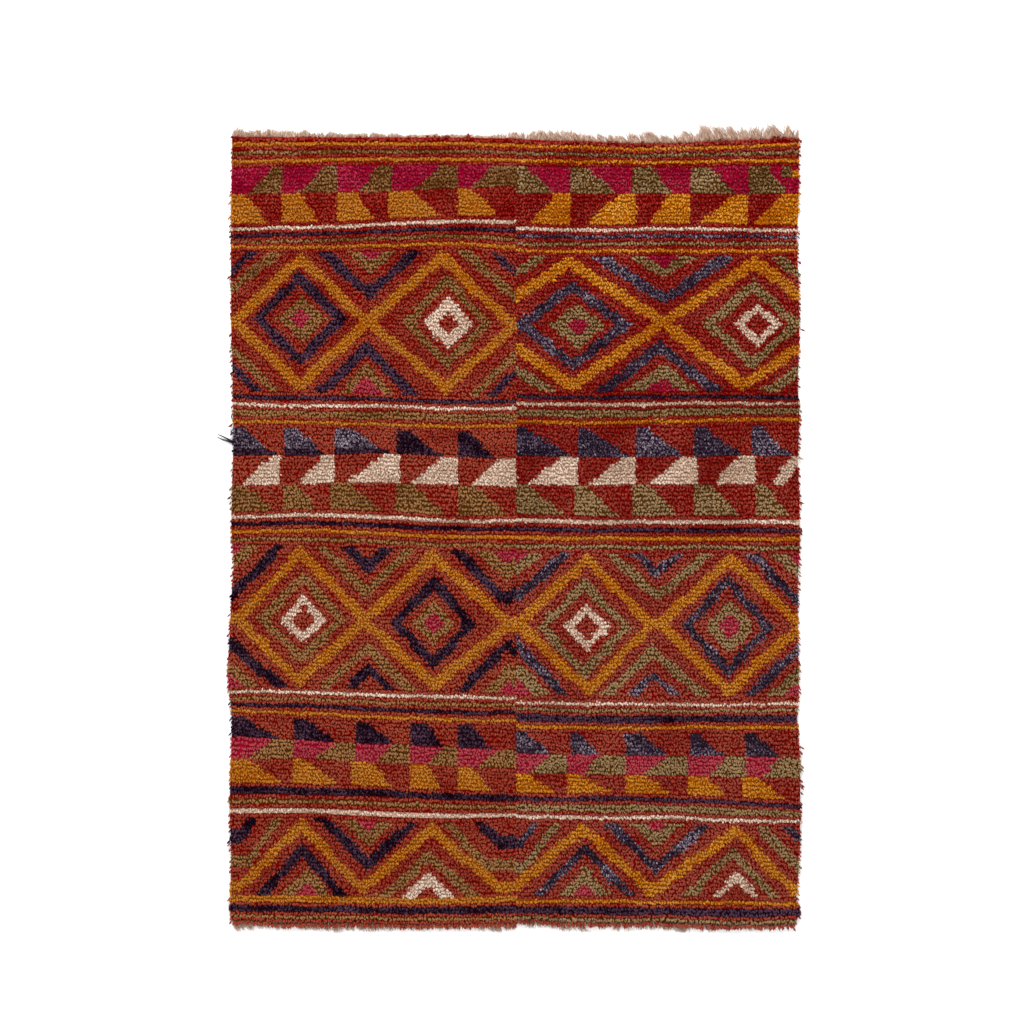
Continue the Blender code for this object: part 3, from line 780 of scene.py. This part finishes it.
# %% A piece of the pile
def pile_piece(name, tufts, chosen, material):
    """One mesh of the chosen tufts."""
    path = tufts["path"][chosen]
    rings = rings_along(path, np.repeat(tufts["radius"][chosen], 3, 1), tufts["roll"][chosen])
    points = np.concatenate([path[:, :1], rings[:, 1], path[:, 2:]], 1)
    looks = {label: tufts[label][chosen][:, None] for label in ("tone", "lean")}
    return mesh_locks(name, points, *lock_faces(1, True, True), looks, material)


# %% [markdown]
# ## One piece for each yarn
# The exporter wants no piece over 200,000 triangles, and a maker thinks in yarns, so each strip's pile
# becomes one piece for each yarn.

# %% Pile pieces
pile_pieces = {"left": [], "right": []}
for strip, seed in ((LEFT, 101), (RIGHT, 202)):
    tufts = tufts_of(strip, seed)
    for yarn, label in enumerate(YARNS):
        chosen = tufts["yarn"] == yarn
        if not chosen.any():
            continue
        piece = pile_piece(f"pile_{strip.name}_{label}", tufts, chosen, wool_of(strip, yarn))
        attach(piece, "root")
        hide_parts(f"panel_{strip.name}")
        pile_pieces[strip.name].append(piece)
        print(piece.name, "locks:", int(chosen.sum()))

# %% [markdown]
# ## Undyed warp
# The warps are undyed wool, spun hard from brown and white fleece. Where they leave the weaving they are cut
# and not knotted, so they untwist into their plies and fray.

# %% Undyed warp material
WARP_WOOL, tree, base_colour = matte_wool("undyed warp wool")
tone = fibre_tone(tree, 1.0)
tree.links.new(wool_colour(tree, tone, "#866650", "#AE8E7A", "#D4BCAA"), base_colour)
print("warp material:", WARP_WOOL.name)

# %% [markdown]
# ## Warp ends
# Each knot sits on two warps, and each warp frays into eight fine strands. Neighbouring ends cling together
# in clumps, and a clump leans as one. The tables give how far the ends stand out past the weaving at some
# shares of the strip's width from its left side, in millimetres.

# %% Warp ends, in millimetres
PLIES = 8
WARPS = 2 * KNOTS
PLY_RINGS = 4
CLUMPS = 90  # more than enough to cross one strip
WarpEnds = namedtuple("WarpEnds", "name strip at_top lean marks")  # a mark: share of the width, length
WARP_ENDS = (
    WarpEnds("top_left", LEFT, True, 0.10, (
        (0, 25), (0.025, 25), (0.03, 17), (0.055, 17), (0.06, 23), (0.18, 24), (0.25, 22), (0.3, 18),
        (0.37, 18), (0.42, 15), (0.5, 14), (0.6, 12), (0.9, 12), (0.96, 16), (1, 20))),
    WarpEnds("top_right", RIGHT, True, -0.25, (
        (0, 18), (0.03, 20), (0.05, 24), (0.1, 28), (0.155, 33), (0.2, 28), (0.26, 25), (0.37, 26),
        (0.47, 32), (0.58, 28), (0.66, 36), (0.685, 48), (0.73, 42), (0.79, 40), (0.85, 38), (0.9, 33),
        (0.955, 45), (0.985, 40), (1, 18))),
    WarpEnds("foot_left", LEFT, False, 0.25, (
        (0, 33), (0.05, 30), (0.08, 20), (0.3, 22), (0.36, 28), (0.41, 21), (0.46, 28), (0.53, 27),
        (0.57, 20), (0.8, 20), (0.93, 25), (1, 20))),
    WarpEnds("foot_right", RIGHT, False, 0.15, (
        (0, 18), (0.15, 27), (0.22, 28), (0.27, 20), (0.36, 26), (0.42, 20), (0.48, 27), (0.62, 24),
        (0.75, 18), (0.9, 17), (1, 8))),
)


# %% Paths of the plies
def warp_end_paths(ends, seed):
    """Paths, radii, turns and tones of one end's plies."""
    chance = np.random.default_rng(seed)
    marks = np.array(ends.marks)
    warp = np.repeat(np.arange(WARPS), PLIES)
    count = len(warp)
    share = (warp + 0.5 + chance.uniform(-0.35, 0.35, count)) / WARPS
    bounds = np.cumsum(chance.uniform(0.006, 0.028, CLUMPS))
    clump = np.searchsorted(bounds, share)
    middles = np.append(bounds, 1.0)[clump] - 0.007
    clump_length = chance.uniform(0.74, 1.08, CLUMPS + 1)[clump]
    clump_lean = chance.normal(0, 0.25, CLUMPS + 1)[clump]
    fine = chance.uniform(0, 1, count)
    length = np.interp(share, marks[:, 0], marks[:, 1]) * MM * clump_length * (0.45 + 0.6 * fine)
    row = 0.1 if ends.at_top else ends.strip.rows - 0.9
    x, y = place_of(ends.strip, np.full(count, row), share)
    way = 1 if ends.at_top else -1
    lean = ends.lean + clump_lean + chance.normal(0, 0.22, count)
    gather = (middles - share) * STRIP_WIDTH * chance.uniform(-0.1, 0.3, count)
    part = np.linspace(0, 1, PLY_RINGS)
    curl = chance.normal(0, 0.0018, (count, 1))
    curl = curl * np.sin(part * np.pi * chance.uniform(1.0, 2.4, (count, 1)))
    height = chance.uniform(0.001, 0.005 if ends.at_top else 0.004, (count, 1))
    path = np.stack([
        x[:, None] + (lean * length)[:, None] * part**1.4 + gather[:, None] * part + curl,
        y[:, None] + way * length[:, None] * part,
        np.maximum(CLOTH_HEIGHT * (1 - part) + height * np.sin(part * 2.4), 0.0006),
    ], -1)
    radius = (0.0018 - 0.0010 * fine[:, None]) * (1 - 0.7 * part**1.4)
    tone = np.repeat(chance.normal(0.5, 0.2, (count, 1)) + (part - 0.5) * 0.4, SIDES, 1)
    return path, radius, chance.uniform(0, 2 * np.pi, count), np.clip(tone, 0, 1)


# %% Warp end pieces
faces, places = lock_faces(PLY_RINGS, False, False)
for number, ends in enumerate(WARP_ENDS):
    path, radius, roll, tone = warp_end_paths(ends, 300 + number)
    points = rings_along(path, radius, roll).reshape(len(path), PLY_RINGS * SIDES, 3)
    piece = mesh_locks(f"warp_ends_{ends.name}", points, faces, places, {"tone": tone}, WARP_WOOL)
    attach(piece, "root")
    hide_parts(f"fringe_{ends.name}")
    print(piece.name, "plies:", len(path))

# %% [markdown]
# ## The woven ground
# Under the pile lies the cloth that holds it: rows of knots with several shots of weft between them. The
# tufts are packed so close above it that their lower halves read as one felted bed, and they part only near
# their ends. So cloth and bed are one closed sheet a strip, thin at the free edges, with a square for each
# knot above and below. The chart colours those squares: from below, the whole pattern shows in flat knots,
# parted by lines of weft. Above, each square takes the yarn of the row before it, because that row's tufts
# have leaned over it, and its tint holds painted shade of the deep pile between the tufts.

# %% Ground material
# red, saffron, olive, indigo, slate, raspberry and ivory: each yarn's colour with painted shade of the deep
# pile mixed in
GROUND_TINTS_WITH_PAINTED_SHADE = ("#7A0403", "#AC5A04", "#56320C", "#1E0A16", "#301C30", "#A0052A", "#C4A48C")
ground_wool, tree, base_colour = matte_wool("knotted ground")
knot_colour_and_painted_shade = add_node(tree, "ShaderNodeAttribute", {}, attribute_name="knot_colour_and_painted_shade")
knot_grid = add_node(tree, "ShaderNodeUVMap", {}, uv_map="knots")
inputs = {
    "Vector": knot_grid.outputs["UV"],
    "Color1": (1.0, 1.0, 1.0, 1.0),
    "Color2": (0.72, 0.72, 0.72, 1.0),
    "Mortar": (0.30, 0.24, 0.20, 1.0),
    "Scale": 1.0,
    "Mortar Size": 0.07,
    "Mortar Smooth": 0.6,
    "Brick Width": 0.5,
    "Row Height": 1.0,
}
weft_lines = add_node(tree, "ShaderNodeTexBrick", inputs, offset=0.0)
inputs = {MIX_FACTOR: 1.0, MIX_A: knot_colour_and_painted_shade.outputs["Color"], MIX_B: weft_lines.outputs["Color"]}
woven = add_node(tree, "ShaderNodeMix", inputs, data_type="RGBA", blend_type="MULTIPLY")
tree.links.new(woven.outputs[MIX_RESULT], base_colour)
print("ground material:", ground_wool.name)

# %% Ground sheets
FIRST_LINE = -0.3  # the sheet's top edge, in rows
BAKE_EDGE, BAKE_WIDTH, BAKE_LENGTH = 0.01, 0.47, 0.98  # the upper side's place on the bake map
BAKE_BESIDE = 0.5  # from the upper side to the lower one
BAKE_RIM = 0.003  # how far two corners of each rim face are moved aside
BRICK_MIDDLE = (0.25, 0.5)  # away from the weft lines
# The ground tints hold painted shade of the deep pile. The knots underneath are not in it, so they get the
# tints this much lighter.
UNDER_LIGHT = 1.3  # the knots underneath are unshaded, so they look lighter than the bed


def ground_sheet(strip):
    """A closed sheet of squares, one for each knot above and one below."""
    row, column = np.mgrid[0 : strip.rows + 1, 0 : KNOTS + 1]
    x, y = place_of(strip, np.maximum(row - ROOT_ROWS, FIRST_LINE).ravel(), column.ravel() / KNOTS)
    above = np.stack([x, y, bed_height(strip, row.ravel(), column.ravel() / KNOTS)], 1)
    below = above * (1, 1, 0)
    number = np.arange(x.size).reshape(row.shape)
    corners = number[:-1, :-1], number[1:, :-1], number[1:, 1:], number[:-1, 1:]
    top = np.stack(corners, -1).reshape(-1, 4)
    under = top[:, ::-1] + x.size
    rim = np.concatenate([number[0, :0:-1], number[:-1, 0], number[-1, :-1], number[:0:-1, -1]])
    after = np.roll(rim, -1)
    sides = np.stack([rim, rim + x.size, after + x.size, after], 1)
    mesh = bpy.data.meshes.new(f"ground_{strip.name}")
    faces = np.concatenate([top, under, sides])
    mesh.from_pydata(np.concatenate([above, below]).tolist(), [], faces.tolist())
    part_x, part_y = (column / KNOTS).ravel(), 1 - (row / strip.rows).ravel()
    upper = np.stack([BAKE_EDGE + BAKE_WIDTH * part_x, BAKE_EDGE + BAKE_LENGTH * part_y], 1)
    lower = upper + (BAKE_BESIDE, 0)
    places = np.concatenate([upper, lower])[faces]
    places[len(top) + len(under) :, :2] += (BAKE_RIM, 0)
    layer = mesh.uv_layers.new(name="OFBake")
    layer.uv.foreach_set("vector", places.astype(np.float32).ravel())
    knots = np.stack([column.ravel(), -row.ravel()], 1)
    layer = mesh.uv_layers.new(name="knots")
    knot_places = np.concatenate([knots, knots])[faces].astype(np.float32)
    knot_places[: len(top)] = BRICK_MIDDLE
    layer.uv.foreach_set("vector", knot_places.ravel())
    # The bed on top keeps the tints' painted shade, the knots underneath are made lighter, and the rim takes
    # the red tint.
    tints = np.array([linear(tint) for tint in GROUND_TINTS_WITH_PAINTED_SHADE])
    chart = charts[strip.name]
    leaning = chart[np.maximum(np.arange(strip.rows) - 1, 0)]
    edge = np.tile(tints[RED], (len(sides), 1))
    colour = mesh.attributes.new("knot_colour_and_painted_shade", "FLOAT_COLOR", "FACE")
    tops = tints[leaning.ravel()]
    unders = tints[chart.ravel()] * (UNDER_LIGHT, UNDER_LIGHT, UNDER_LIGHT, 1)
    colours = np.concatenate([tops, unders, edge]).astype(np.float32)
    colour.data.foreach_set("color", colours.ravel())
    mesh.materials.append(ground_wool)
    return add_object(mesh.name, mesh)


# %% Both grounds
for strip in (LEFT, RIGHT):
    ground = ground_sheet(strip)
    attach(ground, "root")
    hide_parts(f"panel_{strip.name}")
    print(ground.name, "faces:", len(ground.data.polygons))

# %% [markdown]
# ## Loose ends
# A few long yarns were never trimmed at the left side. They are spun singles, so each is one smooth lock
# with more rings. The tables give their bends: how far down from the top line, out from the side and up from
# the floor, and how thick.

# %% Loose yarns, in millimetres
YARN_RINGS = 19
# each bend: down, out, up and thick
LOOSE_YARNS = (
    ("upper_prong", (
        (696, -14, 7, 2.6), (688, 0, 7, 2.6), (682, 13, 4, 2.4),
        (677.5, 20.5, 3, 1.7), (673, 29.7, 2, 1.3), (670, 37.4, 1, 0.6))),
    ("lower_prong", (
        (699, -13, 7, 2.4), (692, 0, 6, 2.4), (686, 13, 3, 2.2),
        (683, 23.9, 2, 1.6), (679.2, 32, 2, 1.2), (675.8, 39.2, 1, 0.6))),
    ("thin_loop", (
        (645, -12, 8, 1.2), (640, -2, 6, 1.2), (637.4, 2, 4, 1.2),
        (630.6, 7, 3, 1.1), (625, 5, 3, 1.0), (619, -4, 7, 0.9))),
)


def loose_yarn(name, bends):
    """One smooth yarn through its bends."""
    marks = np.array(bends)
    step = np.linspace(0, len(bends) - 1, YARN_RINGS)
    down, out, up, thick = (np.interp(step, np.arange(len(bends)), mark) * MM for mark in marks.T)
    for values in (down, out, up):
        values[1:-1] = (values[:-2] + 2 * values[1:-1] + values[2:]) / 4
    path = np.stack([SEAM_X - STRIP_WIDTH - out, TOP_Y - down, np.maximum(up, thick)], 1)[None]
    points = rings_along(path, thick[None], np.zeros(1)).reshape(1, -1, 3)
    faces, places = lock_faces(YARN_RINGS, False, False)
    looks = {"tone": 0.3, "lean": 0.1}
    return mesh_locks(f"loose_end_{name}", points, faces, places, looks, WOOLS[INDIGO])


for name, bends in LOOSE_YARNS:
    piece = loose_yarn(name, bends)
    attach(piece, "root")
print("loose yarns:", len(LOOSE_YARNS))

# %% [markdown]
# ## Floor, light and camera
# The rug lies on a plain pale floor under a white sky and one large soft light at its top end, which shades
# the row ridges. The camera looks straight down.

# %% World and floor
bpy.context.scene.view_settings.view_transform = "Standard"
world = bpy.data.worlds.new("soft studio")
bpy.context.scene.world = world
world.use_nodes = True
sky = world.node_tree.nodes["Background"]
fill(world.node_tree, sky, {"Color": (1.0, 1.0, 1.0, 1.0), "Strength": 1.15})

FLOOR_REACH = 20.0
floor_corners = [(x * FLOOR_REACH, y * FLOOR_REACH, 0) for x, y in ((-1, -1), (1, -1), (1, 1), (-1, 1))]
floor_mesh = bpy.data.meshes.new("floor")
floor_mesh.from_pydata(floor_corners, [], [(0, 1, 2, 3)])
floor = add_object("floor", floor_mesh)
floor.location.z = -0.0002
floor_paint, *_ = shaded_material("pale floor", {"Base Color": linear("#FAFAFA"), "Roughness": 0.9})
floor_mesh.materials.append(floor_paint)
print("floor, in m:", 2 * FLOOR_REACH)

# %% Light and camera
lamp = bpy.data.lights.new("soft box", "AREA")
lamp.shape = "SQUARE"
lamp.size = 3.0
lamp.energy = 260.0
soft_box = add_object("soft box", lamp)
soft_box.location = (SEAM_X - 0.5, 4.0, 4.5)
soft_box.rotation_euler = (math.radians(-41), 0, 0)

CAMERA_HEIGHT = 6.016
PILE_TOP = 0.016
FRAME_WIDTH = 2.304  # what the camera sees across, at the top of the pile
CAMERA_LEFT = 0.009  # from the seam
CAMERA_UP = 0.04275  # from the middle of the strips
SENSOR_WIDTH = 36.0
camera_data = bpy.data.cameras.new("camera")
camera_data.sensor_width = SENSOR_WIDTH
camera_data.lens = SENSOR_WIDTH * (CAMERA_HEIGHT - PILE_TOP) / FRAME_WIDTH
camera = add_object("camera", camera_data)
camera.location = (SEAM_X - CAMERA_LEFT, TOP_Y - STRIP_LENGTH / 2 + CAMERA_UP, CAMERA_HEIGHT)
bpy.context.scene.camera = camera
print("lens, in mm:", round(camera_data.lens, 1))
